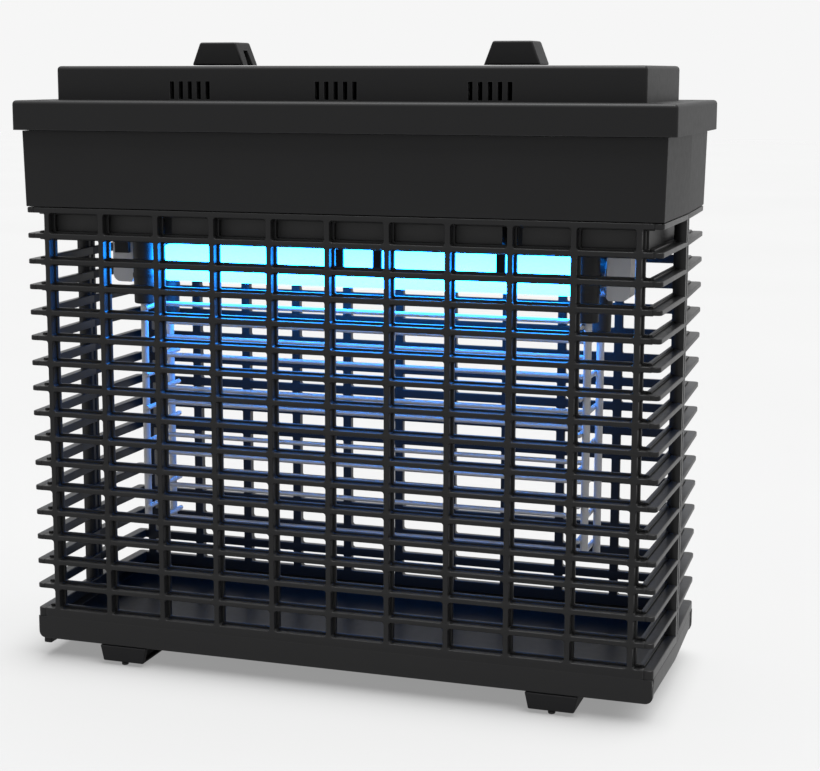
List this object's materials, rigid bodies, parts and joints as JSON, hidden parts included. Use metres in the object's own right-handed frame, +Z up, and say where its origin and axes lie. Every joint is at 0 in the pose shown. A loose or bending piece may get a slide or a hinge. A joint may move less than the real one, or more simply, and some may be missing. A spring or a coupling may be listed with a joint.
{
  "type": "electric bug zapper",
  "caption": "Free-standing or hanging electric insect killer: finned cage around a UV lamp and high-voltage wire grid, ballast housing with vented lid above, slide-out catch tray below.",
  "frame": {"origin": "on the floor, at the centre of the footprint under the foot nubs", "axes": "+X along the length, to the right seen from the front; +Y from front to rear; +Z up"},
  "size_m": [0.276, 0.1044, 0.2635],
  "materials": {
    "black_plastic": "satin moulded ABS, fine spark texture",
    "tray_plastic": "smooth semi-gloss moulded ABS",
    "foot_plastic": "matt moulded plastic",
    "insulator_plastic": "matt high-voltage insulating plastic",
    "holder_plastic": "grey moulded polycarbonate",
    "rocker_plastic": "polished black",
    "capacitor_sleeve": "shrink sleeve",
    "nub_rubber": "soft black rubber",
    "gland_rubber": "black rubber",
    "lamp_glass": "lit phosphor-coated tube, cyan white",
    "cap_aluminium": "pressed, satin",
    "electrode_steel": "bright zinc-plated welded wire",
    "screw_steel": "zinc plated",
    "board": "green solder resist",
    "core": "varnished laminated core",
    "film_capacitor": "dipped film capacitor"
  },
  "bodies": {
    "housing": {"top_cover": "black_plastic", "hanger_lug_left": "black_plastic", "hanger_lug_right": "black_plastic", "ballast_housing": "black_plastic", "switch_bezel": "black_plastic", "lamp_carrier": "black_plastic", "lamp_guard_1": "black_plastic", "lamp_guard_2": "black_plastic", "lamp_guard_3": "black_plastic", "front_grille": "black_plastic", "rear_grille": "black_plastic", "cover_screw_front_left": "screw_steel", "insulator_front_left": "insulator_plastic", "foot_front_left": "foot_plastic", "foot_nub_front_left": "nub_rubber", "cover_screw_front_right": "screw_steel", "insulator_front_right": "insulator_plastic", "foot_front_right": "foot_plastic", "foot_nub_front_right": "nub_rubber", "cover_screw_rear_left": "screw_steel", "insulator_rear_left": "insulator_plastic", "foot_rear_left": "foot_plastic", "foot_nub_rear_left": "nub_rubber", "cover_screw_rear_right": "screw_steel", "insulator_rear_right": "insulator_plastic", "foot_rear_right": "foot_plastic", "foot_nub_rear_right": "nub_rubber", "circuit_board": "board", "high_voltage_transformer": "core", "lamp_ballast": "core", "voltage_multiplier_capacitor_1": "film_capacitor", "voltage_multiplier_capacitor_2": "film_capacitor", "voltage_multiplier_capacitor_3": "film_capacitor", "smoothing_capacitor": "capacitor_sleeve", "terminal_block": "holder_plastic", "cable_inlet_gland": "gland_rubber", "lamp_holder_left": "holder_plastic", "lamp_holder_right": "holder_plastic", "electrode_grid_front": "electrode_steel", "electrode_grid_rear": "electrode_steel"},
    "tray": {"catch_tray": "tray_plastic"},
    "lamp": {"uv_lamp_tube": "lamp_glass", "lamp_cap_left": "cap_aluminium", "lamp_cap_right": "cap_aluminium"},
    "rocker": {"power_rocker": "rocker_plastic"}
  },
  "joints": [
    {"name": "tray_slide", "type": "slide", "parent": "housing", "child": "tray", "axis": [-1, 0, 0], "range_m": [0, 0.275]},
    {"name": "lamp_twist", "type": "hinge", "parent": "housing", "child": "lamp", "pos_m": [0, 0, 0.1687], "axis": [1, 0, 0], "range_deg": [0, 90]},
    {"name": "rocker_tilt", "type": "hinge", "parent": "housing", "child": "rocker", "pos_m": [-0.078, 0.05035, 0.212], "axis": [0, 0, -1], "range_deg": [0, 18]}
  ]
}
